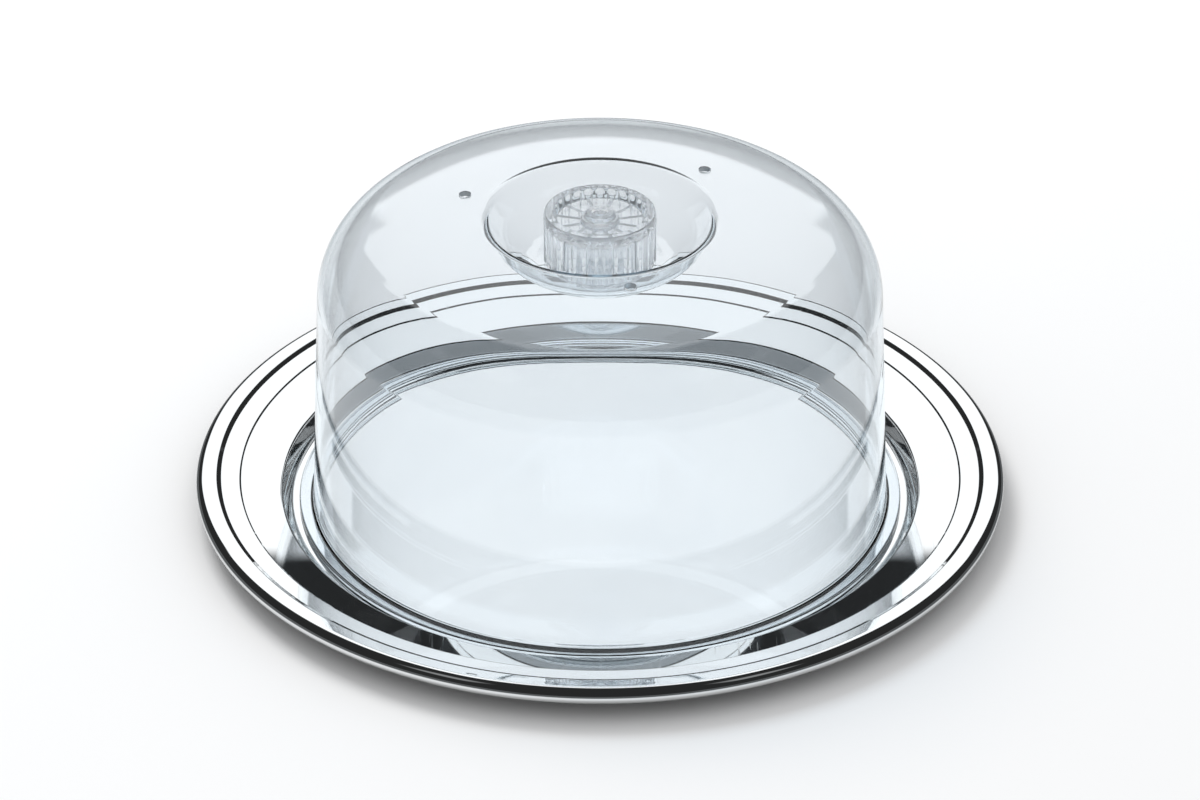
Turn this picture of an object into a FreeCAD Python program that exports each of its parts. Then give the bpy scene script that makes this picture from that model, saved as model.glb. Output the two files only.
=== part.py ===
# Covered cheese server: a polished round tray, a clear moulded dome that drops into the
# tray's well, and a fluted clear knob clamped through the dome by a bolt and a cap nut.
# Millimetres, +Z up. Origin: centre of the tray's flat underside.
import FreeCAD, Part
import math
import os

V = FreeCAD.Vector
ORIGIN = V(0, 0, 0)
UP = V(0, 0, 1)

# ---------------------------------------------------------------- tray sizes (pressed sheet)
TRAY_R = 145.0          # outside radius over the curled rim
SHEET_T = 0.7
WELL_R = 110.9          # foot of the well wall, on the sheet's mid-line
WELL_TOP_R = 114.5
WELL_TOP_Z = 6.0
COVE_R = 129.05         # top of the cove, at the foot of a fine raised crease
COVE_Z = 10.7
CREASE_W = 0.6          # the crease lifts the flat band a little above the cove
CREASE_H = 0.4
STEP_R = 136.1          # foot of the small raised step that rings the rim
STEP_W = 1.8            # how far the step runs outwards
STEP_Z = 11.9
LIP_Z = 12.9            # mid-line height of the lip at the top of the step
LIP_RISE = 0.1          # rise of the lip from the step to the curl
CURL_R = 2.95           # mid-line radius of the curled edge
CURL_SWEEP = 292.0      # degrees the sheet is rolled through

# ---------------------------------------------------------------- bolt shank
BOLT_R = 4.0
BOLT_PLAY = 0.1         # radial play in the dome and the knob
WASHER_PLAY = 0.3       # radial play in the washer

# ---------------------------------------------------------------- dome sizes
# Dome heights are measured from the underside of its flange.
SEAT_Z = SHEET_T        # the flange stands on the well floor
WALL_T = 2.0
FLANGE_R = 108.2
FLANGE_T = 2.2
WALL_FOOT_R = 103.1     # outside of the wall where it meets the flange
SHOULDER_R = 99.0       # wall line and crown line meet here
SHOULDER_Z = 103.4
SHOULDER_FILLET = 27.2
CROWN_R = 63.4          # start of the crown's fall
CROWN_Z = 115.0
CROWN_FILLET = 115.5
RECESS_RIM_R = 40.0
RECESS_MID_R = 34.0
RECESS_MID_Z = 103.6
RECESS_FLOOR_R = 25.0
RECESS_FLOOR_Z = 97.5
VENT_COUNT = 3
VENT_FIRST_ANGLE = 42.0
VENT_RING_R = 50.0      # radius of the circle of vent holes
VENT_R = 2.0

# ---------------------------------------------------------------- knob sizes
KNOB_R = 19.9
KNOB_H = 19.3
KNOB_EDGE_DROP = 2.3    # the knob is widest, and the flutes run out, about this far down
KNOB_FLUTES = 28
KNOB_FLUTE_DEPTH = 0.85
KNOB_FLUTE_HALF = 0.40  # half width of a flute, as a share of the flute spacing
KNOB_DISH_R = 16.4
KNOB_DISH_FLOOR_R = 15.2
KNOB_DISH_DEPTH = 3.4
KNOB_FLOOR_T = 1.8
KNOB_CAVITY_R = 16.9
KNOB_TUBE_R = 6.6
KNOB_RIBS = 12
KNOB_RIB_T = 1.1
KNOB_RIB_LIFT = 2.5     # the ribs end this far above the knob's foot

# ---------------------------------------------------------------- fixing sizes
BOLT_HEAD_R = 6.8
BOLT_HEAD_T = 1.3
BOLT_CAP_R = 5.4        # raised boss on the head
BOLT_CAP_H = 1.5
BOLT_END_GAP = 1.2      # from the bottom of the nut's bore up to the bolt's end
BOLT_TIP_CHAMFER_R = 0.6
BOLT_TIP_CHAMFER_H = 0.8
NECK_SIDE = 7.6         # square neck under the head
NECK_H = 3.0
NECK_PLAY = 0.2         # added to the full width of the neck's socket
SOCKET_OVERCUT = 0.1    # extra depth of the socket below the neck

THREAD_PITCH = 2.0
THREAD_DEPTH = 0.65
THREAD_PLAY = 0.14
THREAD_ROOT_W = 1.35    # ridge width, embedded edge
THREAD_CREST_W = 0.5
THREAD_WIDENING = 2.6 * THREAD_PLAY  # added to the ridge width for the tapped thread
THREAD_EMBED = 0.15     # the ridge is sunk this far into the core
THREAD_START = 1.6      # the ridge starts this far above the bolt's end
THREAD_STOP = 0.2       # and stops this far below the nut's mouth
THREAD_ROOT_R = BOLT_R - THREAD_DEPTH

WASHER_T = 1.0
WASHER_R = 10.5
NUT_R = 9.0
NUT_H = 11.0
NUT_SKIRT_H = 6.6       # straight upper part of the nut
NUT_SHOULDER_R = 6.6
NUT_SHOULDER_H = 1.2
NUT_TIP_R = 3.2
NUT_BORE_DEPTH = 9.2
NUT_FLUTES = 12
NUT_FLUTE_R = 1.9
NUT_FLUTE_OFFSET = 1.25  # flute axes lie this far outside the nut
TAP_LEAD = 0.45         # turns the tapped thread starts before the bolt's ridge
TAP_RUNOUT = 0.7        # turns it runs on past the nut's mouth

# ---------------------------------------------------------------- stack heights
KNOB_Z = SEAT_Z + RECESS_FLOOR_Z
KNOB_TOP_Z = KNOB_Z + KNOB_H
DISH_Z = KNOB_TOP_Z - KNOB_DISH_DEPTH        # the bolt head sits here
WASHER_TOP_Z = KNOB_Z - WALL_T
NUT_TOP_Z = WASHER_TOP_Z - WASHER_T
BORE_END_Z = NUT_TOP_Z - NUT_BORE_DEPTH
BOLT_END_Z = BORE_END_Z + BOLT_END_GAP


# ---------------------------------------------------------------- helpers
def offset_path(points, distance):
    """Polyline [(x, z, fillet)] moved to its left, with the fillets kept concentric."""
    last = len(points) - 1
    dirs = []
    for start, end in zip(points, points[1:]):
        dx, dz = end[0] - start[0], end[1] - start[1]
        length = math.hypot(dx, dz)
        dirs.append((dx / length, dz / length))
    moved = []
    for i, (x, z, fillet) in enumerate(points):
        if i in (0, last):
            dx, dz = dirs[0] if i == 0 else dirs[-1]
            moved.append((x - dz * distance, z + dx * distance, 0.0))
            continue
        in_x, in_z = dirs[i - 1]
        out_x, out_z = dirs[i]
        turn = in_x * out_z - in_z * out_x
        half_turn = math.atan2(turn, in_x * out_x + in_z * out_z) / 2.0
        normal_x, normal_z = -(in_z + out_z), in_x + out_x
        scale = distance / math.cos(half_turn) / math.hypot(normal_x, normal_z)
        if fillet:
            fillet = max(fillet - distance if turn > 0 else fillet + distance, 0.0)
        moved.append((x + normal_x * scale, z + normal_z * scale, fillet))
    return moved


def path_edges(points):
    """Edges through [(x, z, fillet)] in the XZ plane, with an arc at each filleted corner."""
    edges = []
    corners = [V(x, 0, z) for x, z, _ in points]
    current = corners[0]

    def line_to(target):
        if (target - current).Length > 1e-5:
            edges.append(Part.LineSegment(current, target).toShape())

    for i in range(1, len(points)):
        corner = corners[i]
        fillet = points[i][2]
        if i < len(points) - 1 and fillet > 1e-6:
            back = (corners[i - 1] - corner).normalize()
            ahead = (corners[i + 1] - corner).normalize()
            half_angle = back.getAngle(ahead) / 2.0
            trim = fillet / math.tan(half_angle)
            arc_start = corner + back * trim
            arc_end = corner + ahead * trim
            bisector = (back + ahead).normalize()
            arc_mid = corner + bisector * (fillet / math.sin(half_angle) - fillet)
            line_to(arc_start)
            edges.append(Part.Arc(arc_start, arc_mid, arc_end).toShape())
            current = arc_end
        else:
            line_to(corner)
            current = corner
    return edges


def revolve_edges(edges):
    face = Part.Face(Part.Wire(Part.__sortEdges__(edges)))
    return face.revolve(ORIGIN, UP, 360)


def lathe(points, lift=0.0):
    """Solid of revolution from the closed outline [(radius, z, fillet)], raised by lift."""
    points = [(x, z + lift, fillet) for x, z, fillet in points]
    x, z, _ = points[0]
    return revolve_edges(path_edges(points + [(x, z, 0.0)]))


def cylinder(radius, z_low, z_high, x=0.0, y=0.0):
    return Part.makeCylinder(radius, z_high - z_low, V(x, y, z_low), UP)


def square_bar(side, height, z_low):
    return Part.makeBox(side, side, height, V(-side / 2, -side / 2, z_low))


def ring_of(shape, count, phase=0.0):
    """Copies of shape spaced evenly about Z, the first turned by phase spacings."""
    copies = []
    for i in range(count):
        item = shape.copy()
        item.rotate(ORIGIN, UP, 360.0 * (i + phase) / count)
        copies.append(item)
    return copies


def thread_ridge(crest_r, z_start, turns, widening=0.0):
    """Right-handed helical ridge of trapezoid section about Z, starting on +X at z_start."""
    root_r = THREAD_ROOT_R - THREAD_EMBED
    root_half = (THREAD_ROOT_W + widening) / 2
    crest_half = (THREAD_CREST_W + widening) / 2
    helix = Part.makeHelix(THREAD_PITCH, THREAD_PITCH * turns, root_r)
    helix.translate(V(0, 0, z_start))
    section = [V(root_r, 0, z_start - root_half), V(crest_r, 0, z_start - crest_half),
               V(crest_r, 0, z_start + crest_half), V(root_r, 0, z_start + root_half)]
    profile = Part.makePolygon(section + [section[0]])
    return Part.Wire(helix.Edges).makePipeShell([profile], True, True)


def save(shape, name):
    if shape.ShapeType != "Compound":
        shape = shape.removeSplitter()
    solids = shape.Solids
    piece = solids[0] if len(solids) == 1 else Part.makeCompound(solids)
    piece.exportStep(os.path.join("parts", name + ".step"))


# ---------------------------------------------------------------- pieces
def make_tray():
    half_t = SHEET_T / 2.0
    curl_x = TRAY_R - CURL_R - half_t
    lip_end_z = LIP_Z + LIP_RISE
    curl_z = lip_end_z - CURL_R
    outer_r, inner_r = CURL_R + half_t, CURL_R - half_t
    # mid-line of the sheet: radius, z, fillet
    midline = [(0.0, half_t, 0.0),
               (WELL_R, half_t, 2.2),
               (WELL_TOP_R, WELL_TOP_Z, 1.9),
               (COVE_R, COVE_Z, 0.5),
               (COVE_R + CREASE_W, COVE_Z + CREASE_H, 0.5),
               (STEP_R, STEP_Z, 0.9),
               (STEP_R + STEP_W, LIP_Z, 0.9),
               (curl_x, lip_end_z, 0.0)]
    top, bottom = offset_path(midline, half_t), offset_path(midline, -half_t)
    # the curl starts level, so both outlines end exactly above its centre
    top[-1] = (curl_x, curl_z + outer_r, 0.0)
    bottom[-1] = (curl_x, curl_z + inner_r, 0.0)

    def on_curl(radius, degrees):
        """Point on the curl, at an angle from straight up towards the outside."""
        angle = math.radians(90.0 - degrees)
        return V(curl_x + radius * math.cos(angle), 0, curl_z + radius * math.sin(angle))

    def curl_arc(radius, start, end):
        middle = (start + end) / 2
        return Part.Arc(*[on_curl(radius, a) for a in (start, middle, end)]).toShape()

    half_sweep = CURL_SWEEP / 2
    edges = path_edges(top)
    edges += [curl_arc(outer_r, 0, half_sweep),
              curl_arc(outer_r, half_sweep, CURL_SWEEP),
              Part.LineSegment(on_curl(outer_r, CURL_SWEEP),
                               on_curl(inner_r, CURL_SWEEP)).toShape(),
              curl_arc(inner_r, CURL_SWEEP, half_sweep),
              curl_arc(inner_r, half_sweep, 0)]
    edges += path_edges(bottom[::-1])
    edges.append(Part.LineSegment(V(bottom[0][0], 0, bottom[0][1]),
                                  V(top[0][0], 0, top[0][1])).toShape())
    return revolve_edges(edges)


def make_dome():
    # outside of the moulding, from the bolt hole to the wall's foot: radius, z, fillet
    outer = [(BOLT_R + BOLT_PLAY, RECESS_FLOOR_Z, 0.0),
             (RECESS_FLOOR_R, RECESS_FLOOR_Z, 9.0),
             (RECESS_MID_R, RECESS_MID_Z, 13.0),
             (RECESS_RIM_R, CROWN_Z, 4.4),
             (CROWN_R, CROWN_Z, CROWN_FILLET),
             (SHOULDER_R, SHOULDER_Z, SHOULDER_FILLET),
             (WALL_FOOT_R, FLANGE_T, 0.0)]
    inner = offset_path(outer, -WALL_T)
    # the inner wall runs straight on to the foot of the flange
    (x0, z0, _), (x1, z1, _) = inner[-2:]
    inner[-1] = (x0 + (x1 - x0) * (0.0 - z0) / (z1 - z0), 0.0, 0.5)
    outer[-1] = (WALL_FOOT_R, FLANGE_T, 1.3)
    flange = [(FLANGE_R, FLANGE_T, 0.9), (FLANGE_R, 0.0, 0.7)]
    shell = lathe(outer + flange + inner[::-1], SEAT_Z)
    top = SEAT_Z + CROWN_Z
    for i in range(VENT_COUNT):
        angle = math.radians(VENT_FIRST_ANGLE + 360.0 * i / VENT_COUNT)
        x, y = VENT_RING_R * math.cos(angle), VENT_RING_R * math.sin(angle)
        shell = shell.cut(cylinder(VENT_R, top - 6, top + 3, x, y))
    return shell


def knob_flutes():
    """Shallow round grooves whose upper ends run out in a ball."""
    spacing = 2 * math.pi * KNOB_R / KNOB_FLUTES
    half = spacing * KNOB_FLUTE_HALF
    radius = (half * half + KNOB_FLUTE_DEPTH ** 2) / (2 * KNOB_FLUTE_DEPTH)
    axis_x = KNOB_R - KNOB_FLUTE_DEPTH + radius
    ball_z = KNOB_TOP_Z - KNOB_EDGE_DROP - radius * 0.6
    ball = Part.makeSphere(radius, V(axis_x, 0, ball_z))
    groove = cylinder(radius, KNOB_Z - 1.0, ball_z, axis_x).fuse(ball)
    return ring_of(groove, KNOB_FLUTES)


def knob_hollow():
    """The hollow of the underside, with a tube and ribs left standing."""
    roof = DISH_Z - KNOB_FLOOR_T
    hollow = cylinder(KNOB_CAVITY_R, KNOB_Z - 1.0, roof)
    hollow = hollow.cut(cylinder(KNOB_TUBE_R, KNOB_Z - 2.0, roof + 1.0))
    rib_z = KNOB_Z + KNOB_RIB_LIFT
    rib = Part.makeBox(KNOB_CAVITY_R, KNOB_RIB_T, roof + 1.0 - rib_z,
                       V(KNOB_TUBE_R - 1.0, -KNOB_RIB_T / 2, rib_z))
    return hollow.cut(ring_of(rib, KNOB_RIBS, phase=0.5))


def make_knob():
    body = lathe([(0.0, KNOB_Z, 0.0),
                  (KNOB_R - 0.5, KNOB_Z, 0.0),
                  (KNOB_R - 0.15, KNOB_Z + 0.5, 0.0),
                  (KNOB_R, KNOB_TOP_Z - KNOB_EDGE_DROP, 0.6),
                  (KNOB_R - 0.9, KNOB_TOP_Z, 0.9),
                  (KNOB_DISH_R, KNOB_TOP_Z, 0.7),
                  (KNOB_DISH_FLOOR_R, DISH_Z, 0.5),
                  (0.0, DISH_Z, 0.0)])
    body = body.cut(knob_flutes())
    body = body.cut(knob_hollow())
    # bolt passage: round below, square under the head
    body = body.cut(cylinder(BOLT_R + BOLT_PLAY, KNOB_Z - 1.0, KNOB_TOP_Z))
    socket = square_bar(NECK_SIDE + NECK_PLAY, NECK_H + 0.4, DISH_Z - NECK_H - SOCKET_OVERCUT)
    return body.cut(socket)


def make_bolt():
    head_top = DISH_Z + BOLT_HEAD_T
    cap_top = head_top + BOLT_CAP_H
    body = lathe([(0.0, BOLT_END_Z, 0.0),
                  (THREAD_ROOT_R - BOLT_TIP_CHAMFER_R, BOLT_END_Z, 0.0),
                  (THREAD_ROOT_R, BOLT_END_Z + BOLT_TIP_CHAMFER_H, 0.0),
                  # the core widens to the full shank above the nut's mouth
                  (THREAD_ROOT_R, NUT_TOP_Z + 0.4, 0.0),
                  (BOLT_R, NUT_TOP_Z + 0.9, 0.0),
                  (BOLT_R, DISH_Z, 0.0),
                  (BOLT_HEAD_R, DISH_Z, 0.0),
                  (BOLT_HEAD_R, head_top, 0.5),
                  (BOLT_CAP_R + 0.1, head_top, 0.3),
                  (BOLT_CAP_R - 0.5, cap_top, 1.0),
                  # ring groove and centre dimple in the boss
                  (2.9, cap_top + 0.2, 0.0), (2.5, cap_top - 0.4, 0.0),
                  (2.1, cap_top - 0.4, 0.0), (1.8, cap_top + 0.1, 0.0),
                  (0.9, cap_top + 0.1, 0.0), (0.4, cap_top - 0.5, 0.0),
                  (0.0, cap_top - 0.5, 0.0)])
    body = body.fuse(square_bar(NECK_SIDE, NECK_H, DISH_Z - NECK_H))
    z_start = BOLT_END_Z + THREAD_START
    turns = (NUT_TOP_Z - THREAD_STOP - z_start) / THREAD_PITCH
    return body.fuse(thread_ridge(BOLT_R, z_start, turns))


def make_washer():
    bore_r = BOLT_R + WASHER_PLAY
    return lathe([(bore_r, NUT_TOP_Z, 0.0), (WASHER_R, NUT_TOP_Z, 0.3),
                  (WASHER_R, WASHER_TOP_Z, 0.3), (bore_r, WASHER_TOP_Z, 0.0)])


def make_nut():
    low = NUT_TOP_Z - NUT_H
    body = lathe([(0.0, NUT_TOP_Z, 0.0),
                  (NUT_R, NUT_TOP_Z, 0.4),
                  (NUT_R, NUT_TOP_Z - NUT_SKIRT_H, 1.2),
                  (NUT_SHOULDER_R, low + NUT_SHOULDER_H, 3.0),
                  (NUT_TIP_R, low, 2.0),
                  (0.0, low, 0.0)])
    groove = cylinder(NUT_FLUTE_R, low - 1.0, NUT_TOP_Z + 1.0, NUT_R + NUT_FLUTE_OFFSET)
    body = body.cut(ring_of(groove, NUT_FLUTES, phase=0.5))
    # tapped bore: the bolt's own ridge with play all round, in step with it and run
    # out through the nut's mouth
    z_start = BOLT_END_Z + THREAD_START - TAP_LEAD * THREAD_PITCH
    turns = (NUT_TOP_Z - z_start) / THREAD_PITCH + TAP_RUNOUT
    thread = thread_ridge(BOLT_R + THREAD_PLAY, z_start, turns, THREAD_WIDENING)
    thread.rotate(ORIGIN, UP, -360.0 * TAP_LEAD)
    tap = cylinder(THREAD_ROOT_R + THREAD_PLAY, BORE_END_Z, NUT_TOP_Z + 4.0).fuse(thread)
    return body.cut(tap)


os.makedirs("parts", exist_ok=True)
save(make_tray(), "tray")
save(make_dome(), "dome_shell")
save(make_knob(), "knob")
save(make_bolt(), "knob_bolt")
save(make_washer(), "nut_washer")
save(make_nut(), "cap_nut")
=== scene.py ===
# Looks for a covered cheese server: a mirror-polished tray, a clear moulded dome, and a clear
# fluted knob held by a bolt, a washer and a cap nut. All pieces stand round the Z axis, +Z up.
# Outlines are in millimetres and become metres in build(); everything else is in metres.
import math

import bmesh
import bpy
import numpy as np
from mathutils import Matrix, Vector


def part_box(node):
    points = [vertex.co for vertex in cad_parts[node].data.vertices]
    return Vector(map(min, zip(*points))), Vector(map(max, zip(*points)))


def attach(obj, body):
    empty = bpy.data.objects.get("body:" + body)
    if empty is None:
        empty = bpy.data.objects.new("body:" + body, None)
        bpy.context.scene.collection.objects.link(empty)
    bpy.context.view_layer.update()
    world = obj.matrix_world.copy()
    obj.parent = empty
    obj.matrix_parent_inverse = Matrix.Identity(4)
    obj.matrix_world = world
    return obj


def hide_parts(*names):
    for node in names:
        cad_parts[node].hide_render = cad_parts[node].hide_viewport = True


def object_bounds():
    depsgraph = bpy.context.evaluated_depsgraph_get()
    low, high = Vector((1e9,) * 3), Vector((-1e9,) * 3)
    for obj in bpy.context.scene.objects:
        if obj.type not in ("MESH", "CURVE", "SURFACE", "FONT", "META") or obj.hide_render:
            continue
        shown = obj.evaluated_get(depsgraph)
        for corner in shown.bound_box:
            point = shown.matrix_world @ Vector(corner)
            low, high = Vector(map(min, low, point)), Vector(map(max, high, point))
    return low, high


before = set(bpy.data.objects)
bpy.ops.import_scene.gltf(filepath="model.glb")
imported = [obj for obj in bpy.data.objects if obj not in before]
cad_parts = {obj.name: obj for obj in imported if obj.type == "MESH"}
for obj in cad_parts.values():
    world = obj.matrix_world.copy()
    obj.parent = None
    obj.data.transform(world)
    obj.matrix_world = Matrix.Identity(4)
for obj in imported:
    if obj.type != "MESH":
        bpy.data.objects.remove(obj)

MM = 0.001
cad_low, cad_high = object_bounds()


def mm(value):
    """A frame length in millimetres, rounded to the hundredth."""
    return round(value / MM, 2)


def levels(name, digits=1):
    """Bottom and top height of a frame box, in rounded millimetres."""
    low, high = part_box(name)
    return round(mm(low.z), digits), round(mm(high.z), digits)


# ------------------------------------------------------------------ driving sizes (mm)
GAP = 0.03               # air between faces that touch, so that light crosses each face once

tray_low, tray_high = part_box("tray")
TRAY_RADIUS = round(mm((tray_high.x - tray_low.x) / 2) * 2) / 2
TRAY_Z = mm(tray_low.z)
DOME_Z = levels("dome_shell")[0]
KNOB_BOTTOM, KNOB_TOP = levels("knob")
DISH_Z = KNOB_TOP - 3.4  # floor of the dish in the knob's top
NUT_BOTTOM, NUT_TOP = levels("cap_nut")
BOLT_END = levels("knob_bolt")[0]

# The thread shared by the bolt and the nut.
PITCH = 2.0
THREAD_DEPTH = 0.65
THREAD_ROOT = 3.35
THREAD_START = BOLT_END + 1.6
THREAD_STEP = 0.085      # height between rings of points on the thread
SHANK_RADIUS = THREAD_ROOT + THREAD_DEPTH
BOLT_HOLE = 4.1          # radius of the round hole through the knob and the dome

DOME_SEGS = 360          # one column of points per degree
VENT_ANGLES = (42, 162, 282)
VENT_CIRCLE = 50.0       # radius of the circle the vents lie on
VENT_RADIUS = 2.0
VENT_SPAN = 5            # columns opened to each side of a vent
VENT_REACH = 4.6         # radial reach of the opened square to each side


# ------------------------------------------------------------------ outline tools
def offset_path(points, distance):
    """Outline [(radius, z, fillet)] moved to its left, with the fillets kept concentric."""
    directions = []
    for start, end in zip(points, points[1:]):
        x_run, z_run = end[0] - start[0], end[1] - start[1]
        length = math.hypot(x_run, z_run)
        directions.append((x_run / length, z_run / length))
    moved = []
    for i, (x, z, fillet) in enumerate(points):
        if i == 0 or i == len(points) - 1:
            along_x, along_z = directions[0 if i == 0 else -1]
            moved.append((x - along_z * distance, z + along_x * distance, 0.0))
            continue
        in_x, in_z = directions[i - 1]
        out_x, out_z = directions[i]
        turn = in_x * out_z - in_z * out_x
        half_turn = math.atan2(turn, in_x * out_x + in_z * out_z) / 2.0
        mitre_x, mitre_z = -(in_z + out_z), in_x + out_x
        reach = distance / math.cos(half_turn) / math.hypot(mitre_x, mitre_z)
        if fillet:
            fillet = max(fillet - distance if turn > 0 else fillet + distance, 0.0)
        moved.append((x + mitre_x * reach, z + mitre_z * reach, fillet))
    return moved


def line(start, end):
    return ("LINE", np.array(start, float), np.array(end, float))


def arc(centre, radius, start_angle, end_angle):
    return ("ARC", np.array(centre, float), radius, start_angle, end_angle)


def segments_of(points):
    """Lines and arcs through [(radius, z, fillet)]. Fillets at the two ends are ignored."""
    segments = []
    current = np.array(points[0][:2], float)
    for i in range(1, len(points)):
        corner, fillet = np.array(points[i][:2], float), points[i][2]
        if i < len(points) - 1 and fillet > 1e-6:
            back = np.array(points[i - 1][:2], float) - corner
            ahead = np.array(points[i + 1][:2], float) - corner
            back /= np.linalg.norm(back)
            ahead /= np.linalg.norm(ahead)
            angle = math.acos(max(-1.0, min(1.0, float(back @ ahead))))
            cut = fillet / math.tan(angle / 2.0)
            start, end = corner + back * cut, corner + ahead * cut
            middle = (back + ahead) / np.linalg.norm(back + ahead)
            centre = corner + middle * fillet / math.sin(angle / 2.0)
            start_angle = math.atan2(start[1] - centre[1], start[0] - centre[0])
            end_angle = math.atan2(end[1] - centre[1], end[0] - centre[0])
            sweep = (end_angle - start_angle + math.pi) % (2 * math.pi) - math.pi
            if np.linalg.norm(start - current) > 1e-5:
                segments.append(line(current, start))
            segments.append(arc(centre, fillet, start_angle, start_angle + sweep))
            current = end
        else:
            if np.linalg.norm(corner - current) > 1e-5:
                segments.append(line(current, corner))
            current = corner
    return segments


def sample(segments, step, arc_degrees, closed=False, crown_step=None):
    """Rows (radius, z, normal radius, normal z), with the exact normal on the left of travel.
    Arcs over 60 mm in radius take crown_step when it is given."""
    rows = []
    for segment in segments:
        if segment[0] == "LINE":
            _, start, end = segment
            length = np.linalg.norm(end - start)
            along = (end - start) / length
            count = max(1, int(math.ceil(length / step)))
            for k in range(count):
                x, z = start + (end - start) * k / count
                rows.append((x, z, -along[1], along[0]))
            last = (end[0], end[1], -along[1], along[0])
        else:
            _, centre, radius, start, end = segment
            sweep = abs(end - start)
            arc_step = crown_step if crown_step and radius > 60 else step
            count = max(3, int(math.ceil(math.degrees(sweep) / arc_degrees)),
                        int(math.ceil(sweep * radius / arc_step)))
            side = -1.0 if end > start else 1.0
            for k in range(count + 1):
                angle = start + (end - start) * k / count
                cos, sin = math.cos(angle), math.sin(angle)
                last = (centre[0] + radius * cos, centre[1] + radius * sin, side * cos, side * sin)
                if k < count:
                    rows.append(last)
    if not closed:
        rows.append(last)
    return np.array(rows, float)


# ------------------------------------------------------------------ mesh tools
def new_object(name, data):
    ob = bpy.data.objects.new(name, data)
    bpy.context.scene.collection.objects.link(ob)
    return ob


def build(name, verts, faces, normals=None):
    """A smooth-shaded object from points in millimetres, its faces turned outwards. Without
    normals it gets sharp edges over 38 degrees and area-weighted normals."""
    mesh = bpy.data.meshes.new(name)
    points = np.asarray(verts, float)
    sizes = np.array([len(face) for face in faces], np.int32)
    corners = np.fromiter((v for face in faces for v in face), np.int32, int(sizes.sum()))
    starts = np.concatenate([[0], np.cumsum(sizes)[:-1]]).astype(np.int32)
    volume = 0.0
    for k in (1, 2):     # the two triangles of each face
        first = starts[sizes > k + 1]
        one, two, three = (points[corners[first + shift]] for shift in (0, k, k + 1))
        volume += float(np.einsum("ij,ij->i", one, np.cross(two, three)).sum())
    mesh.vertices.add(len(points))
    mesh.vertices.foreach_set("co", (points * MM).astype(np.float32).ravel())
    mesh.loops.add(len(corners))
    mesh.loops.foreach_set("vertex_index", corners)
    mesh.polygons.add(len(sizes))
    mesh.polygons.foreach_set("loop_start", starts)
    mesh.polygons.foreach_set("loop_total", sizes)
    mesh.update(calc_edges=True)
    if volume < 0:
        mesh.flip_normals()
    mesh.polygons.foreach_set("use_smooth", np.ones(len(mesh.polygons), bool))
    if normals is None:
        mesh.set_sharp_from_angle(angle=math.radians(38.0))
    mesh.update()
    if normals is not None:
        mesh.normals_split_custom_set_from_vertices(np.asarray(normals, float).tolist())
    ob = new_object(name, mesh)
    if normals is None:
        even = ob.modifiers.new("even_normals", "WEIGHTED_NORMAL")
        even.mode = "FACE_AREA"
        even.weight = 60
        even.keep_sharp = True
    return ob


def fix_winding(ob):
    """Turns every face the same way round, outwards."""
    mesh = bmesh.new()
    mesh.from_mesh(ob.data)
    bmesh.ops.recalc_face_normals(mesh, faces=mesh.faces)
    mesh.to_mesh(ob.data)
    mesh.free()


def grid_faces(rows, columns, closed):
    """Quads between rings of points; closed also joins the last ring to the first."""
    faces = []
    for i in range(rows if closed else rows - 1):
        here, above = i * columns, ((i + 1) % rows) * columns
        for j in range(columns):
            k = (j + 1) % columns
            faces.append((here + j, here + k, above + k, above + j))
    return faces


def capped_faces(rows, columns):
    """An open grid, its end rings closed by two axis points that follow the grid's points."""
    faces = grid_faces(rows, columns, False)
    first, last = rows * columns, (rows - 1) * columns
    for j in range(columns):
        k = (j + 1) % columns
        faces.append((first, k, j))
        faces.append((first + 1, last + j, last + k))
    return faces


def full_turn(count):
    return np.arange(count) * 2 * math.pi / count


def lathe(outline, columns, closed=True):
    """Points, normals and faces of a sampled outline turned about Z. An open outline must
    start and end on the axis."""
    angles = full_turn(columns)
    cos, sin = np.cos(angles), np.sin(angles)
    body = outline if closed else outline[1:-1]
    radius, z, normal_r, normal_z = (body[:, k][:, None] for k in range(4))

    def turned(radial, height):
        rows = [radial * cos, radial * sin, np.repeat(height, columns, 1)]
        return np.stack(rows, -1).reshape(-1, 3)

    verts, normals = turned(radius, z), turned(normal_r, normal_z)
    if closed:
        return verts, normals, grid_faces(len(body), columns, True)
    first, last = outline[0], outline[-1]
    verts = np.vstack([verts, [[0, 0, first[1]], [0, 0, last[1]]]])
    normals = np.vstack([normals, [[0, 0, first[3]], [0, 0, last[3]]]])
    return verts, normals, capped_faces(len(body), columns)


class Rings:
    """Stacked rings of points about Z. A radius or height is one number or one per point."""

    def __init__(self, count):
        self.angles = full_turn(count)
        self.rows = []

    def add(self, radius, z, angles=None):
        angles = self.angles if angles is None else angles
        radius, z = (np.broadcast_to(np.asarray(v, float), angles.shape) for v in (radius, z))
        self.rows.append(np.stack([radius * np.cos(angles), radius * np.sin(angles), z], -1))

    def build_looped(self, name):
        """The last ring is joined to the first."""
        faces = grid_faces(len(self.rows), len(self.angles), True)
        return build(name, np.concatenate(self.rows), faces)

    def build_capped(self, name, first_z, last_z):
        """The end rings are closed by points on the axis."""
        ends = [np.array([[0, 0, first_z]]), np.array([[0, 0, last_z]])]
        faces = capped_faces(len(self.rows), len(self.angles))
        return build(name, np.concatenate(self.rows + ends), faces)


def smooth_min(one, other, blend):
    """The smaller of two values, eased where they differ by less than blend."""
    near = np.clip(blend - np.abs(one - other), 0, None) / blend
    return np.minimum(one, other) - near * near * blend * 0.25


def rounded_square(half_side, corner, angles):
    """Radius of a square in each direction, its corners eased in to the corner radius."""
    square = half_side / np.maximum(np.abs(np.cos(angles)), np.abs(np.sin(angles)))
    return smooth_min(square, corner, 0.5)


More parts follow.
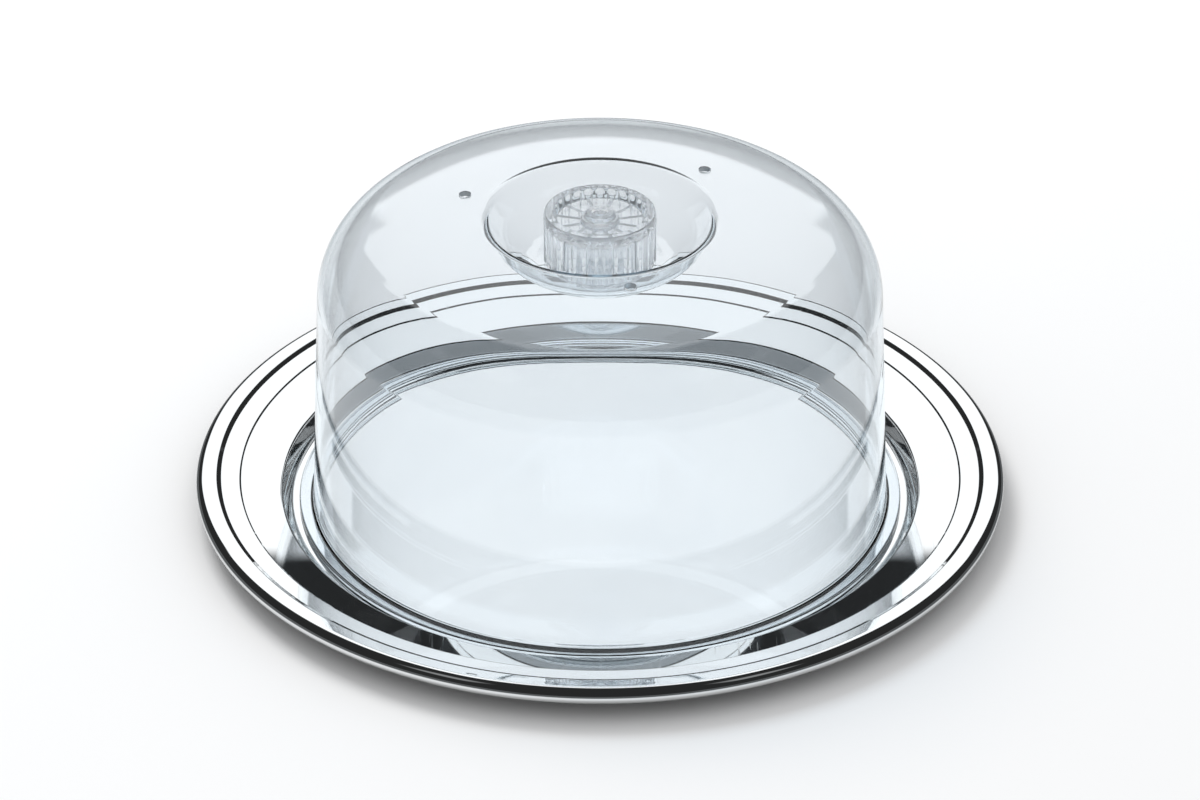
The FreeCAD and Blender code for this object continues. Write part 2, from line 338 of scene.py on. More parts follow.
def flute_wall(local, centre, radius, rise=0.0):
    """Distance from the axis to a flute's wall, by angle from the flute's middle, at a rise
    into its ball end. It is far out (99) where a direction misses the flute."""
    rest = radius * radius - rise * rise - (centre * np.sin(local)) ** 2
    wall = centre * np.cos(local) - np.sqrt(np.clip(rest, 0, None))
    return np.where(rest > 0, wall, 99.0)


# ------------------------------------------------------------------ tray
def make_tray():
    """A pressed sheet with a raised rim, its edge curled under."""
    half_sheet = 0.35
    curl_radius, curl_degrees = 2.95, 292.0
    lip = TRAY_Z + 12.9
    curl_top = lip + 0.1
    curl_x = TRAY_RADIUS - curl_radius - half_sheet
    centre = np.array([curl_x, curl_top - curl_radius])
    # Middle of the sheet, from the axis out: radius, z, fillet.
    middle = [
        (0.0, TRAY_Z + half_sheet, 0.0), (110.9, TRAY_Z + half_sheet, 2.2),
        (114.5, TRAY_Z + 6.0, 1.9), (129.05, TRAY_Z + 10.7, 0.5), (129.65, TRAY_Z + 11.1, 0.5),
        (136.1, TRAY_Z + 11.9, 0.9), (137.9, lip, 0.9), (curl_x, curl_top, 0.0),
    ]
    top, bottom = offset_path(middle, half_sheet), offset_path(middle, -half_sheet)
    outer, inner = curl_radius + half_sheet, curl_radius - half_sheet
    top[-1] = (curl_x, centre[1] + outer, 0.0)
    bottom[-1] = (curl_x, centre[1] + inner, 0.0)
    start, end = math.radians(90.0), math.radians(90.0 - curl_degrees)
    edge = centre + curl_radius * np.array([math.cos(end), math.sin(end)])
    segments = segments_of(top)
    segments.append(arc(centre, outer, start, end))
    segments.append(arc(edge, half_sheet, end, end - math.pi))     # rounded raw edge
    segments.append(arc(centre, inner, end, start))
    segments += segments_of(bottom[::-1])
    outline = sample(segments, step=6.0, arc_degrees=6.5)
    verts, normals, faces = lathe(outline, 400, closed=False)
    return build("tray_polished", verts, faces, normals)


# ------------------------------------------------------------------ dome
def make_dome():
    """A moulded shell with a sunken well round the knob and a flange at its foot."""
    wall, hole_fillet = 2.0, 0.12
    flange_radius, flange_top = 108.2, 2.2
    # Outside of the shell above its seat, from the bolt hole out: radius, z, fillet.
    outer = [
        (BOLT_HOLE, 97.5, hole_fillet), (25.0, 97.5, 9.0), (34.0, 103.6, 13.0),
        (40.0, 115.0, 4.4), (63.4, 115.0, 115.5), (99.0, 103.4, 27.2), (103.1, flange_top, 1.3),
    ]
    inner = offset_path(outer, -wall)
    # carry the inner wall on down to the foot
    (x_above, z_above, _), (x_below, z_below, _) = inner[-2:]
    reach = (GAP - z_above) / (z_below - z_above)
    inner[-1] = (x_above + (x_below - x_above) * reach, GAP, 0.5)
    inner[0] = (*inner[0][:2], hole_fillet)
    flange = [(flange_radius, flange_top, 0.9), (flange_radius, GAP, 0.7)]
    # close the outline half way down the bolt hole, so that both of its corners are rounded
    half = ((outer[0][0] + inner[0][0]) / 2, (outer[0][1] + inner[0][1]) / 2, 0.0)
    segments = segments_of([half] + outer + flange + inner[::-1] + [half])
    outline = sample(segments, step=4.5, arc_degrees=7.5, closed=True, crown_step=1.1)
    outline[:, 1] += DOME_Z
    verts, normals, faces = cut_vents(outline, *lathe(outline, DOME_SEGS))
    return build("dome_clear", verts, faces, normals)


def band(ring, other):
    """Faces between two rings of equal count."""
    count = len(ring)
    return [(ring[k], ring[(k + 1) % count], other[(k + 1) % count], other[k])
            for k in range(count)]


def surface_at(strip, radius):
    """Height and unit normal of the revolved strip of outline rows at a radius."""
    z, normal_r, normal_z = (float(np.interp(radius, strip[:, 0], strip[:, k]))
                             for k in (1, 2, 3))
    length = math.hypot(normal_r, normal_z)
    return z, normal_r / length, normal_z / length


def vent_mouth(outline, rows, side, angle, verts, normals, faces):
    """Adds one face's half of a vent (side 1 outside, -1 inside): rings from the opened
    square to a round hole, over its eased edge and into it. Returns the deepest ring and the
    directions of its points."""
    strip = outline[sorted(rows, key=lambda i: outline[i][0])]
    centre_x = VENT_CIRCLE * math.cos(math.radians(angle))
    centre_y = VENT_CIRCLE * math.sin(math.radians(angle))
    columns = [(angle + shift) % DOME_SEGS for shift in range(-VENT_SPAN, VENT_SPAN + 1)]
    square = [rows[0] * DOME_SEGS + j for j in columns]
    square += [i * DOME_SEGS + columns[-1] for i in rows[1:]]
    square += [rows[-1] * DOME_SEGS + j for j in columns[::-1][1:]]
    square += [i * DOME_SEGS + columns[0] for i in rows[::-1][1:-1]]
    turns = [math.atan2(verts[v][1] - centre_y, verts[v][0] - centre_x) for v in square]
    current = square
    edge = VENT_RADIUS + 0.22
    for share in (0.3, 0.58, 0.82, 1.0):     # how far each ring has run in to the hole
        ring = []
        for v, turn in zip(square, turns):
            x = verts[v][0] * (1 - share) + (centre_x + edge * math.cos(turn)) * share
            y = verts[v][1] * (1 - share) + (centre_y + edge * math.sin(turn)) * share
            radius = math.hypot(x, y)
            z, normal_r, normal_z = surface_at(strip, radius)
            ring.append(len(verts))
            verts.append((x, y, z))
            normals.append((normal_r * x / radius, normal_r * y / radius, normal_z))
        faces += band(current, ring)
        current = ring
    # Eased edge and start of the wall: radius beyond the hole's, depth, normal's lean to the
    # hole's middle.
    for extra, depth, lean in ((0.19, 0.01, 0.25), (0.065, 0.065, 0.7071),
                               (0.01, 0.19, 0.97), (0.0, 0.5, 1.0)):
        up = math.sqrt(1 - lean * lean) * side
        ring = []
        for turn in turns:
            x = centre_x + (VENT_RADIUS + extra) * math.cos(turn)
            y = centre_y + (VENT_RADIUS + extra) * math.sin(turn)
            z = surface_at(strip, math.hypot(x, y))[0]
            ring.append(len(verts))
            verts.append((x, y, z - side * depth))
            normals.append((-lean * math.cos(turn), -lean * math.sin(turn), up))
        faces += band(current, ring)
        current = ring
    return current, turns


def cut_vents(outline, verts, normals, faces):
    """Opens the round vents: a square of the lathe's cells round each, on the outside and on
    the inside, gives way to a mouth, and the two mouths are joined by a wall."""
    sides = []
    for side in (1.0, -1.0):
        sides.append((side, [i for i, row in enumerate(outline)
                             if side * row[3] > 0.7 and abs(row[0] - VENT_CIRCLE) < VENT_REACH]))
    opened = {(i, j % DOME_SEGS) for _, rows in sides for i in rows[:-1]
              for angle in VENT_ANGLES for j in range(angle - VENT_SPAN, angle + VENT_SPAN)}
    kept = [face for n, face in enumerate(faces) if divmod(n, DOME_SEGS) not in opened]
    verts, normals = list(map(tuple, verts)), list(map(tuple, normals))
    for angle in VENT_ANGLES:
        (upper, upper_turns), (lower, lower_turns) = [
            vent_mouth(outline, rows, side, angle, verts, normals, kept) for side, rows in sides]
        # join the two rings by nearest direction
        matched = []
        for turn in upper_turns:
            apart = [abs((turn - other + math.pi) % (2 * math.pi) - math.pi)
                     for other in lower_turns]
            matched.append(lower[int(np.argmin(apart))])
        kept += band(upper, matched)
    # drop the points left inside the opened squares
    used = sorted({v for face in kept for v in face})
    renumbered = {v: k for k, v in enumerate(used)}
    return ([verts[v] for v in used], [normals[v] for v in used],
            [tuple(renumbered[v] for v in face) for face in kept])


# ------------------------------------------------------------------ knob
def make_knob():
    """A fluted skirt with a dished top, a hole for the bolt and a ribbed hollow underneath."""
    count = 672                                 # 28 flutes by 24, 12 ribs by 56
    knob = Rings(count)
    foot, top = KNOB_BOTTOM + GAP, KNOB_TOP
    skirt = 19.9
    shoulder = top - 2.3
    flutes, flute_depth = 28, 0.85
    pitch = 2 * math.pi * skirt / flutes
    half_width = pitch * 0.40
    flute_radius = (half_width * half_width + flute_depth * flute_depth) / (2 * flute_depth)
    flute_centre = skirt - flute_depth + flute_radius
    flute_top = shoulder - flute_radius * 0.6
    half_pitch = pitch / skirt / 2
    local = (knob.angles + half_pitch) % (2 * math.pi / flutes) - half_pitch

    # skirt, from the foot up and over into the dish: radius, z, fillet
    outside = [
        (17.6, foot, 0.0), (skirt - 0.5, foot, 0.28), (skirt - 0.12, foot + 0.6, 0.8),
        (skirt, shoulder, 0.9), (skirt - 0.55, top, 0.62), (16.4, top, 0.62),
        (15.2, DISH_Z, 0.55), (7.2, DISH_Z, 0.0),
    ]
    for radius, z, _, _ in sample(segments_of(outside), step=0.75, arc_degrees=9.0):
        if radius > 17.5 and z < top - 0.8:
            groove = flute_wall(local, flute_centre, flute_radius, max(0.0, z - flute_top))
            radius = smooth_min(radius, groove, 0.16)
        knob.add(radius, z)

    # square seat for the bolt's neck, then the round passage
    square = rounded_square(3.9, 5.15, knob.angles)
    knob.add(square + 0.1, DISH_Z)
    for depth in (0.12, 1.0, 2.0, 2.98):
        knob.add(square, DISH_Z - depth)
    knob.add(square - 0.1, DISH_Z - 3.1)
    knob.add(BOLT_HOLE + 0.1, DISH_Z - 3.1)
    for k in range(13):
        knob.add(BOLT_HOLE, (DISH_Z - 3.2) * (1 - k / 12) + (foot + 0.1) * k / 12)
    knob.add(BOLT_HOLE + 0.1, foot)

    # hollow underside: tube, roof with ribs, skirt wall
    ribs, rib_thickness = 12, 1.1
    per_rib = count // ribs
    rib_low, roof = foot + 2.5, DISH_Z - 1.8
    tube, cavity = 6.6, 16.9                    # radii of the hollow's two walls
    place = np.arange(count) % per_rib
    base = (np.arange(count) // per_rib) * 2 * math.pi / ribs
    steps = np.minimum(place, per_rib - place)  # from the nearest rib's middle
    side = np.where(place <= per_rib / 2, 1.0, -1.0)
    nearest = np.where(place <= per_rib / 2, 0.0, 2 * math.pi / ribs)

    def spread(radius):
        """Directions at a radius, bunched at the ribs' sides."""
        flank = math.asin(min(0.999, rib_thickness / 2 / radius))
        ease = 0.10 / radius
        turn = np.interp(steps, [0, 6, 7, 8, 9, 10, per_rib / 2],
                         [0, flank - ease, flank - ease * 0.3, flank, flank + ease * 0.3,
                          flank + ease, math.pi / ribs])
        return base + nearest + side * turn + math.pi / ribs

    ceiling = np.interp(steps, [0, 6, 7, 9, 10, 12],
                        [rib_low, rib_low, rib_low + 0.1, roof - 0.16, roof - 0.04, roof])
    wall_foot, wall_top = foot + 0.25, ceiling - 0.35
    knob.add(tube - 0.25, foot, spread(tube))
    for share in (0.0, 0.08, 0.2, 0.35, 0.5, 0.65, 0.8, 0.9, 1.0):
        knob.add(tube, wall_foot * (1 - share) + wall_top * share, spread(tube))
    knob.add(6.7, ceiling - 0.1, spread(6.7))
    for radius in (6.95, 7.6, 8.8, 10.2, 11.6, 13.0, 14.4, 15.6, 16.3, 16.6):
        knob.add(radius, ceiling, spread(radius))
    knob.add(16.8, ceiling - 0.1, spread(16.8))
    for share in (0.0, 0.1, 0.25, 0.4, 0.55, 0.7, 0.85, 0.95, 1.0):
        knob.add(cavity, wall_top * (1 - share) + wall_foot * share, spread(cavity))
    knob.add(cavity + 0.2, foot, spread(cavity))
    return knob.build_looped("knob_fluted")


# ------------------------------------------------------------------ bolt and nut
def ridge(z, angles, start, end, widen=0.0):
    """0 to 1: how far the helical ridge stands out at height z in each direction."""
    root, crest = 1.35 + widen, 0.5 + widen     # widths of the ridge
    fade = 0.35                                 # height over which its ends run out
    off = (z - start - PITCH * angles / (2 * math.pi) + PITCH / 2) % PITCH - PITCH / 2
    middle = z - off
    flank = np.clip((root / 2 - np.abs(off)) / (root / 2 - crest / 2), 0, 1)
    fade_in = np.clip((middle - start + fade) / fade, 0, 1)
    return flank * (fade_in * np.clip((end + fade - middle) / fade, 0, 1))


def thread_levels(start, end):
    count = int(round(abs(end - start) / THREAD_STEP))
    return [start + (end - start) * i / count for i in range(count + 1)]


def make_bolt():
    """From the threaded end up: thread, plain shank, square neck, slotless round head."""
    bolt = Rings(192)
    head = DISH_Z + GAP
    neck = head - GAP - 3.0
    for radius in (1.2, 2.4, THREAD_ROOT - 0.65):
        bolt.add(radius, BOLT_END)
    bolt.add(THREAD_ROOT - 0.55, BOLT_END + 0.08)
    for z in thread_levels(BOLT_END + 0.75, NUT_TOP + 0.4):
        height = ridge(z, bolt.angles, THREAD_START, NUT_TOP - 0.2)
        bolt.add(THREAD_ROOT + THREAD_DEPTH * height, z)
    bolt.add(SHANK_RADIUS - 0.1, NUT_TOP + 0.82)
    bolt.add(SHANK_RADIUS - 0.02, NUT_TOP + 0.95)
    shank = NUT_TOP + 1.2
    for k in range(9):
        bolt.add(SHANK_RADIUS, shank + (neck - 0.36 - shank) * k / 8)
    bolt.add(SHANK_RADIUS - 0.26, neck - 0.14)
    square = rounded_square(3.8, 5.0, bolt.angles)
    bolt.add(square - 0.15, neck)
    for rise in (0.15, 1.0, 2.0, 2.8):
        bolt.add(square, neck + rise)
    bolt.add(square, head - 0.05)
    bolt.add(square + 0.35, head)
    # Head, from its underside up and in to the axis: radius, z, fillet.
    outline = [
        (6.2, head, 0.0), (6.8, head, 0.12), (6.8, head + 1.3, 0.5), (5.5, head + 1.3, 0.3),
        (4.9, head + 2.8, 0.9), (2.9, head + 3.0, 0.2), (2.5, head + 2.4, 0.15),
        (2.1, head + 2.4, 0.15), (1.8, head + 2.9, 0.15), (0.9, head + 2.9, 0.2),
        (0.4, head + 2.3, 0.2), (0.06, head + 2.3, 0.0),
    ]
    for radius, z, _, _ in sample(segments_of(outline), step=0.3, arc_degrees=10.0):
        bolt.add(radius, z)
    return bolt.build_capped("knob_bolt_clear", BOLT_END, head + 2.3)


def make_nut():
    """A fluted cap nut, rounded below, with a blind threaded hole from its top."""
    nut = Rings(288)
    nut_radius = 9.0
    flutes, flute_radius = 12, 1.9
    local = nut.angles % (2 * math.pi / flutes) - math.pi / flutes
    groove = flute_wall(local, nut_radius + 1.25, flute_radius)
    top, low = NUT_TOP - GAP, NUT_BOTTOM
    for radius in (0.9, 1.8):
        nut.add(radius, low)
    # Outside, from the bottom up: radius, z, fillet.
    outline = [
        (2.4, low, 0.0), (3.2, low, 2.0), (6.6, low + 1.2, 3.0), (nut_radius, top - 6.6, 1.2),
        (nut_radius, top, 0.45), (4.6, top, 0.0),
    ]
    for radius, z, _, _ in sample(segments_of(outline), step=0.5, arc_degrees=9.0):
        nut.add(smooth_min(radius, groove, 0.35) if radius > 6.0 else radius, z)
    play = 0.14
    hole_end = top - 9.2
    for z in thread_levels(top - 0.12, hole_end):
        height = ridge(z, nut.angles, THREAD_START - PITCH, top + 3, widen=0.36)
        nut.add(THREAD_ROOT + play + THREAD_DEPTH * height, z)
    for radius in (2.6, 1.4):
        nut.add(radius, hole_end)
    return nut.build_capped("cap_nut_clear", low, hole_end)


def make_washer():
    low, high = levels("nut_washer", digits=2)
    low, high = low + GAP, high - GAP
    inner, outer = 4.3, 10.5
    start = (inner, (low + high) / 2, 0.0)      # half way up the hole
    ring = [start, (inner, high, 0.12), (outer, high, 0.3), (outer, low, 0.3),
            (inner, low, 0.12), start]
    outline = sample(segments_of(ring), step=0.8, arc_degrees=9.0, closed=True)
    verts, normals, faces = lathe(outline, 180)
    return build("nut_washer_soft", verts, faces, normals)


# object, body it rides, frame node it replaces, material slot
PIECES = (
    (make_tray(), "tray", "tray", "polished_steel"),
    (make_dome(), "cover", "dome_shell", "clear_dome"),
    (make_knob(), "knob", "knob", "clear_knob"),
    (make_bolt(), "knob", "knob_bolt", "clear_knob"),
    (make_nut(), "nut", "cap_nut", "clear_knob"),
    (make_washer(), "nut", "nut_washer", "clear_seal"),
)
for ob, body, node, slot in PIECES:
    if slot == "clear_knob":
        fix_winding(ob)
for ob, body, node, slot in PIECES:
    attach(ob, body)
    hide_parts(node)


# ------------------------------------------------------------------ node helpers
class Net:
    """Short calls for building the node tree of a material or world."""

    def __init__(self, owner):
        owner.use_nodes = True
        self.tree = owner.node_tree
        self.tree.nodes.clear()

    def add(self, kind, inputs=None, **settings):
        """A node with its settings, and its inputs linked to sockets or set to values."""
        node = self.tree.nodes.new(kind)
        for key, value in settings.items():
            setattr(node, key, value)
        for key, value in (inputs or {}).items():
            if isinstance(value, bpy.types.NodeSocket):
                self.tree.links.new(value, node.inputs[key])
            else:
                node.inputs[key].default_value = value
        return node

    def math(self, operation, *values):
        return self.add("ShaderNodeMath", dict(enumerate(values)), operation=operation).outputs[0]

    def plus(self, one, other):
        return self.math("ADD", one, other)

    def times(self, one, other):
        return self.math("MULTIPLY", one, other)

    def larger(self, one, other):
        return self.math("MAXIMUM", one, other)

    def length(self, x, y):
        return self.math("SQRT", self.plus(self.times(x, x), self.times(y, y)))

    def ramp(self, value, start, end, low=0.0, high=1.0, kind="SMOOTHSTEP"):
        """Runs from low to high as value goes from start to end."""
        return self.add("ShaderNodeMapRange", {
            "Value": value, "From Min": start, "From Max": end, "To Min": low, "To Max": high,
        }, interpolation_type=kind).outputs["Result"]

    def window(self, value, start, end, soft):
        """1 between start and end, with soft edges."""
        return self.times(self.ramp(value, start - soft, start + soft),
                          self.ramp(value, end - soft, end + soft, low=1.0, high=0.0))

    def mix(self, factor, one, other):
        inputs = {"Factor": factor, 6: one, 7: other}
        return self.add("ShaderNodeMix", inputs, data_type="RGBA").outputs[2]

    def mix_shader(self, factor, one, other):
        return self.add("ShaderNodeMixShader", {0: factor, 1: one, 2: other}).outputs[0]

    def object_coords(self):
        return self.add("ShaderNodeTexCoord").outputs["Object"]

    def split(self, vector):
        return self.add("ShaderNodeSeparateXYZ", {0: vector}).outputs

    def noise(self, vector, scale, detail, rough, distortion=0.0):
        return self.add("ShaderNodeTexNoise", {
            "Vector": vector, "Scale": scale, "Detail": detail, "Roughness": rough,
            "Distortion": distortion}).outputs[0]

    def streaked(self, vector, across, along, turn):
        """Coordinates scaled by across in x and by along in y and z, turned about Z."""
        return self.add("ShaderNodeMapping", {
            "Vector": vector, "Scale": (across, along, along),
            "Rotation": (0.0, 0.0, turn)}).outputs[0]

    def scratches(self, vector, scale, turns):
        """0 to 1 fine lines: thin streaks of noise at several angles, cut to their crests."""
        total = None
        for turn in turns:
            streak = self.noise(self.streaked(vector, scale * 30.0, scale * 0.9, turn),
                                scale=1.0, detail=1.0, rough=0.4)
            lines = self.ramp(streak, start=0.70, end=0.74)
            total = lines if total is None else self.larger(total, lines)
        return total

    def bump(self, height, strength, distance, normal=None):
        inputs = {"Strength": strength, "Distance": distance, "Height": height}
        if normal is not None:
            inputs["Normal"] = normal
        return self.add("ShaderNodeBump", inputs).outputs[0]

    def surface_out(self, shader):
        return self.add("ShaderNodeOutputMaterial", {"Surface": shader})


def new_material(name):
    made = bpy.data.materials.new(name)
    return made, Net(made)


def give(ob, made):
    ob.data.materials.clear()
    ob.data.materials.append(made)


# ------------------------------------------------------------------ polished steel
def steel_material():
    """Mirror steel with polishing lines round the tray, slow waves, smudges and hairlines."""
    made, net = new_material("polished_steel")
    coords = net.object_coords()
    x, y, z = net.split(coords)
    around = net.add("ShaderNodeCombineXYZ", {
        0: net.times(net.length(x, y), 1600.0),
        1: net.times(net.math("ARCTAN2", y, x), 2.0),
        2: net.times(z, 900.0)}).outputs[0]
    lines = net.noise(around, scale=1.0, detail=3.0, rough=0.6)
    wave = net.noise(coords, scale=22.0, detail=1.0, rough=0.4)
    smudge = net.noise(coords, scale=14.0, detail=4.0, rough=0.55, distortion=0.6)
    wipe = net.noise(net.streaked(coords, across=60.0, along=9.0, turn=0.6),
                     scale=1.0, detail=3.0, rough=0.6)
    hair = net.scratches(coords, scale=26.0, turns=(0.3, 1.25, 2.2, 2.75))
    # Roughness: a base, then what each kind of wear adds.
    rough = 0.014
    for wear, amount in ((net.ramp(smudge, start=0.45, end=0.75), 0.02),
                         (net.ramp(wipe, start=0.5, end=0.8), 0.012),
                         (hair, 0.05)):
        rough = net.plus(rough, net.times(wear, amount))
    tone = net.mix(net.ramp(smudge, start=0.3, end=0.8),
                   (0.93, 0.945, 0.95, 1), (0.90, 0.918, 0.925, 1))
    bump = net.bump(wave, strength=0.06, distance=0.0006)
    bump = net.bump(lines, strength=0.01, distance=0.000004, normal=bump)
    bump = net.bump(hair, strength=0.05, distance=0.00001, normal=bump)
    net.surface_out(net.add("ShaderNodeBsdfPrincipled", {
        "Base Color": tone, "Metallic": 1.0, "Roughness": rough, "Normal": bump}).outputs[0])
    return made


# ------------------------------------------------------------------ clear plastics
def vent_mask(net, coords):
    """1 on the walls of the vents, 0 elsewhere."""
    x, y, _ = net.split(coords)
    nearest = None
    for angle in VENT_ANGLES:
        centre_x = VENT_CIRCLE * MM * math.cos(math.radians(angle))
        centre_y = VENT_CIRCLE * MM * math.sin(math.radians(angle))
        away = net.length(net.math("SUBTRACT", x, centre_x), net.math("SUBTRACT", y, centre_y))
        nearest = away if nearest is None else net.math("MINIMUM", nearest, away)
    return net.ramp(nearest, start=(VENT_RADIUS + 0.02) * MM, end=(VENT_RADIUS + 0.12) * MM,
                    low=1.0, high=0.0)


def clear_material(name, tint, hazy_tint, ior, rough, density, scratch, shadow,
                   milk=0.0, frosted_vents=False):
    """Clear moulding: refraction with a faint tint, absorption in its thickness, moulding
    waviness, hairline wear and a light haze. Shadow and diffuse rays pass straight, tinted."""
    made, net = new_material(name)
    coords = net.object_coords()
    flow = net.noise(coords, scale=30.0, detail=1.0, rough=0.4, distortion=0.3)
    haze = net.noise(coords, scale=18.0, detail=4.0, rough=0.6, distortion=0.8)
    hair = net.scratches(coords, scale=20.0, turns=(0.15, 0.9, 1.7, 2.5))
    haze_rough = net.times(net.ramp(haze, start=0.5, end=0.85), rough * 1.5 + 0.004)
    roughness = net.plus(net.plus(rough, haze_rough), net.times(hair, scratch))
    bump = net.bump(flow, strength=0.06, distance=0.0006)
    bump = net.bump(hair, strength=0.05, distance=0.00001, normal=bump)
    surface = net.add("ShaderNodeBsdfPrincipled", {
        "Transmission Weight": 1.0, "IOR": ior, "Roughness": roughness, "Normal": bump,
        "Base Color": net.mix(net.ramp(haze, start=0.3, end=0.8), tint, hazy_tint),
    }).outputs[0]
    if milk or frosted_vents:
        body = net.add("ShaderNodeBsdfDiffuse", {0: (0.88, 0.91, 0.93, 1)})
        through = net.add("ShaderNodeBsdfTranslucent", {0: (0.90, 0.93, 0.95, 1)})
        cloud = net.mix_shader(0.5, body.outputs[0], through.outputs[0])
        amount = net.ramp(haze, start=0.2, end=0.8, low=milk * 0.75, high=milk * 1.25)
        if frosted_vents:
            frost = 0.34
            amount = net.larger(amount, net.times(vent_mask(net, coords), frost))
        surface = net.mix_shader(amount, surface, cloud)
    clear = net.add("ShaderNodeBsdfTransparent", {0: shadow})
    path = net.add("ShaderNodeLightPath")
    passing = net.larger(path.outputs["Is Shadow Ray"], path.outputs["Is Diffuse Ray"])
    out = net.surface_out(net.mix_shader(passing, surface, clear.outputs[0]))
    absorb = net.add("ShaderNodeVolumeAbsorption", {
        "Color": (0.55, 0.80, 0.92, 1), "Density": density})
    net.tree.links.new(absorb.outputs[0], out.inputs["Volume"])
    return made


MATERIALS = {
    "polished_steel": steel_material(),
    "clear_dome": clear_material(
        "clear_dome", tint=(0.966, 0.974, 0.984, 1), hazy_tint=(0.953, 0.964, 0.978, 1),
        ior=1.53, rough=0.0, density=30.0, scratch=0.025, shadow=(0.90, 0.92, 0.94, 1),
        frosted_vents=True),
    "clear_knob": clear_material(
        "clear_knob", tint=(1.0, 1.0, 1.0, 1), hazy_tint=(0.992, 0.995, 0.998, 1),
        ior=1.49, rough=0.0, density=0.8, scratch=0.03, shadow=(0.975, 0.98, 0.985, 1),
        milk=0.095),
    "clear_seal": clear_material(
        "clear_seal", tint=(0.95, 0.96, 0.97, 1), hazy_tint=(0.92, 0.935, 0.95, 1),
        ior=1.43, rough=0.22, density=20.0, scratch=0.02, shadow=(0.86, 0.88, 0.89, 1)),
}
for ob, body, node, slot in PIECES:
    give(ob, MATERIALS[slot])


# ------------------------------------------------------------------ floor
def floor_material():
    """Pale and matt, with painted shade in its reflections: dark where mirrors see it, most of all
    at low angles.
    """
    made, net = new_material("floor_pale_painted_mirror_shade")
    soft = net.noise(net.object_coords(), scale=1.3, detail=2.0, rough=0.5)
    pale = net.mix(net.ramp(soft, start=0.3, end=0.7),
                   (0.915, 0.917, 0.919, 1), (0.93, 0.931, 0.932, 1))
    # painted reflection shade: rays reflected off mirrors see the floor nearly black instead of
    # pale, most of all at low angles
    path = net.add("ShaderNodeLightPath")
    mirror = net.times(path.outputs["Is Glossy Ray"],
                       net.math("SUBTRACT", 1.0, path.outputs["Is Transmission Ray"]))
    incoming = net.split(net.add("ShaderNodeNewGeometry").outputs["Incoming"])
    low_angle = net.ramp(incoming[2], start=0.30, end=0.50, low=1.0, high=0.12)
    painted_shade_strength = 0.92
    colour = net.mix(net.times(mirror, net.times(low_angle, painted_shade_strength)),
                     pale, (0.02, 0.024, 0.026, 1))
    net.surface_out(net.add("ShaderNodeBsdfDiffuse", {0: colour}).outputs[0])
    return made


def make_floor():
    half_size, count = 9.0, 24
    drop = 0.00002
    verts = [((i / count - 0.5) * 2 * half_size, (j / count - 0.5) * 2 * half_size, -drop)
             for i in range(count + 1) for j in range(count + 1)]
    faces = []
    for i in range(count):
        for j in range(count):
            corner = i * (count + 1) + j
            faces.append((corner, corner + count + 1, corner + count + 2, corner + 1))
    mesh = bpy.data.meshes.new("floor")
    mesh.from_pydata(verts, [], faces)
    floor = new_object("floor", mesh)
    give(floor, floor_material())


make_floor()


# ------------------------------------------------------------------ camera and rigs
def aim(ob, target):
    ob.rotation_mode = "QUATERNION"
    ob.rotation_quaternion = (target - ob.location).to_track_quat("-Z", "Y")


def make_camera():
    """A long lens from the -Y side, looking down at the server."""
    data = bpy.data.cameras.new("camera")
    made = new_object("camera", data)
    data.sensor_width = 36.0
    data.lens = 167.0
    data.clip_start = 0.05
    data.clip_end = 60.0
    made.location = Vector((0.0, -1.695, 1.077))
    aim(made, Vector((0.0, 0.0, (cad_high.z - cad_low.z) * 0.34)))
    bpy.context.scene.camera = made
    return made


camera = make_camera()

# the lights turn with the camera's heading, like a turntable shot
light_rig = new_object("light_rig", None)
follow = light_rig.constraints.new("COPY_ROTATION")
follow.target = camera
follow.use_x = False
follow.use_y = False

# the panels also tip with the camera's height, so that level steel mirrors the same panel
# from the side and from above
panel_rig = new_object("panel_rig", None)
panel_rig.rotation_euler = (camera.rotation_quaternion.to_euler().x, 0.0, 0.0)
tip = panel_rig.constraints.new("COPY_ROTATION")
tip.target = camera
tip.mix_mode = "ADD"
tip.use_y = False
tip.invert_x = True


# ------------------------------------------------------------------ studio
# Panels painted in the world, mirrored left and right: azimuth from straight behind the server
# and elevation, each from and to in degrees, then edge softness and brightness.
PANELS = (
    (-90.0, 18.0, 15.0, 71.0, 1.4, 1.12),       # one big white sweep behind
    (-90.0, 28.0, 23.5, 71.0, 1.4, 1.12),       # its raised wings
    (-90.0, 36.0, 37.0, 71.0, 1.4, 1.12),
    (118.0, 140.0, 40.0, 58.0, 5.0, 0.24),      # faint fills beside the camera
)
ROOM_LEVEL = 0.022                              # brightness between the panels


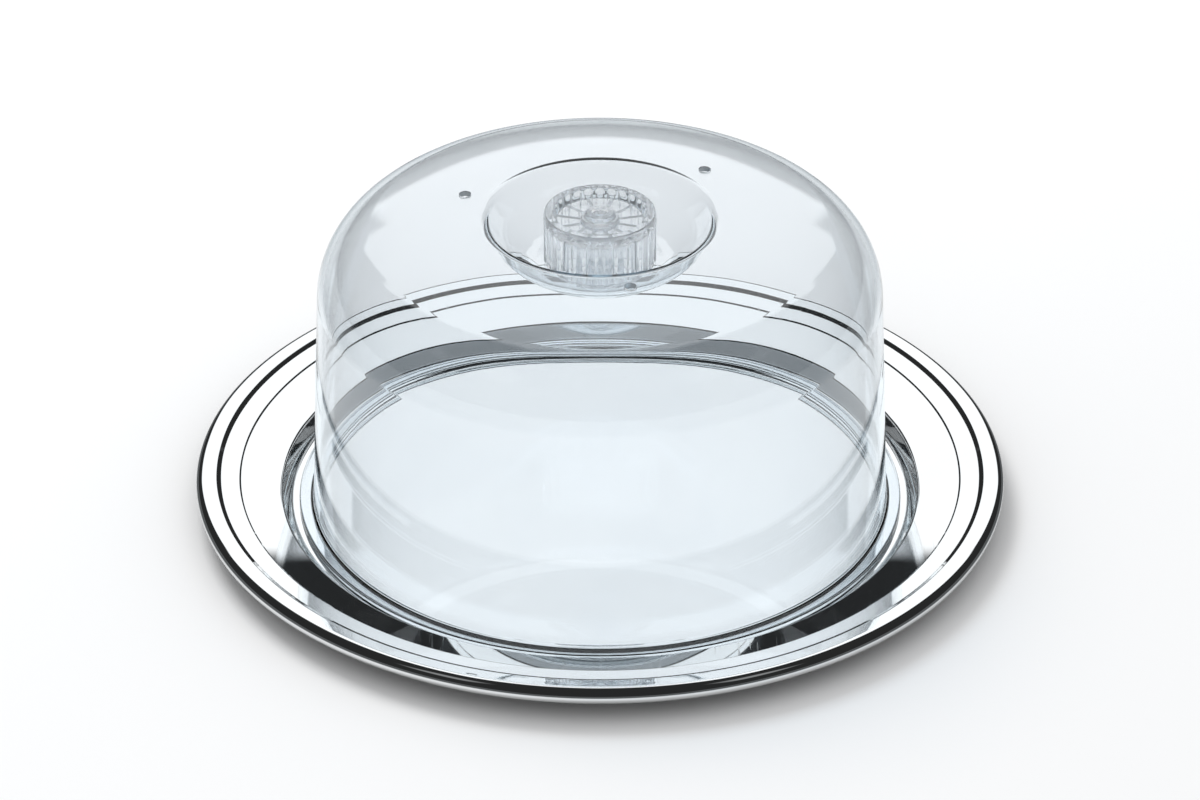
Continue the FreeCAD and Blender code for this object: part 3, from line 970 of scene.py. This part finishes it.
def make_world():
    world = bpy.data.worlds.new("studio")
    bpy.context.scene.world = world
    net = Net(world)
    coords = net.add("ShaderNodeTexCoord", object=panel_rig).outputs["Object"]
    x, y, z = net.split(coords)
    to_degrees = 180 / math.pi
    azimuth = net.times(net.math("ABSOLUTE", net.math("ARCTAN2", x, y)), to_degrees)
    elevation = net.times(net.math("ARCSINE", z), to_degrees)
    level = ROOM_LEVEL
    for left, right, low, high, soft, brightness in PANELS:
        panel = net.times(net.window(azimuth, left, right, soft),
                          net.window(elevation, low, high, soft))
        level = net.larger(level, net.times(panel, brightness))
    path = net.add("ShaderNodeLightPath").outputs
    # light that has crossed many clear faces comes out softened, as from a lit room
    level = net.larger(level, net.ramp(path["Transmission Depth"], start=7.0, end=11.0,
                                       low=0.0, high=0.9, kind="LINEAR"))
    # red a little down and blue a little up, for a cool white
    cool = net.add("ShaderNodeCombineColor", {
        0: net.times(level, 0.985), 1: level, 2: net.times(level, 1.012)}).outputs[0]
    studio = net.mix(path["Is Diffuse Ray"], cool, (0.775, 0.78, 0.785, 1))
    seen = net.mix(path["Is Camera Ray"], studio, (0.93, 0.932, 0.934, 1))
    background = net.add("ShaderNodeBackground", {0: seen, 1: 1.0})
    net.add("ShaderNodeOutputWorld", {"Surface": background.outputs[0]})


def make_key_light():
    """A soft rectangle above and behind the server, on the -X side, hidden from mirrors."""
    data = bpy.data.lights.new("key", "AREA")
    data.shape = "RECTANGLE"
    data.size = 1.0
    data.size_y = 0.8
    data.energy = 18.5
    key = new_object("key", data)
    # aimed from plain vectors, as the location is stored in single precision
    key.location = (-0.7, 1.1, 1.7)
    aim(key, Vector((0, 0, 0.03)))
    key.parent = light_rig
    key.visible_glossy = False
    key.visible_transmission = False


make_world()
make_key_light()

scene = bpy.context.scene
scene.view_settings.view_transform = "Standard"
scene.view_settings.look = "None"
scene.view_settings.exposure = 0.0
scene.cycles.max_bounces = 32
scene.cycles.transmission_bounces = 28
scene.cycles.glossy_bounces = 16
scene.cycles.diffuse_bounces = 3
scene.cycles.transparent_max_bounces = 48
scene.cycles.caustics_reflective = False
scene.cycles.caustics_refractive = False
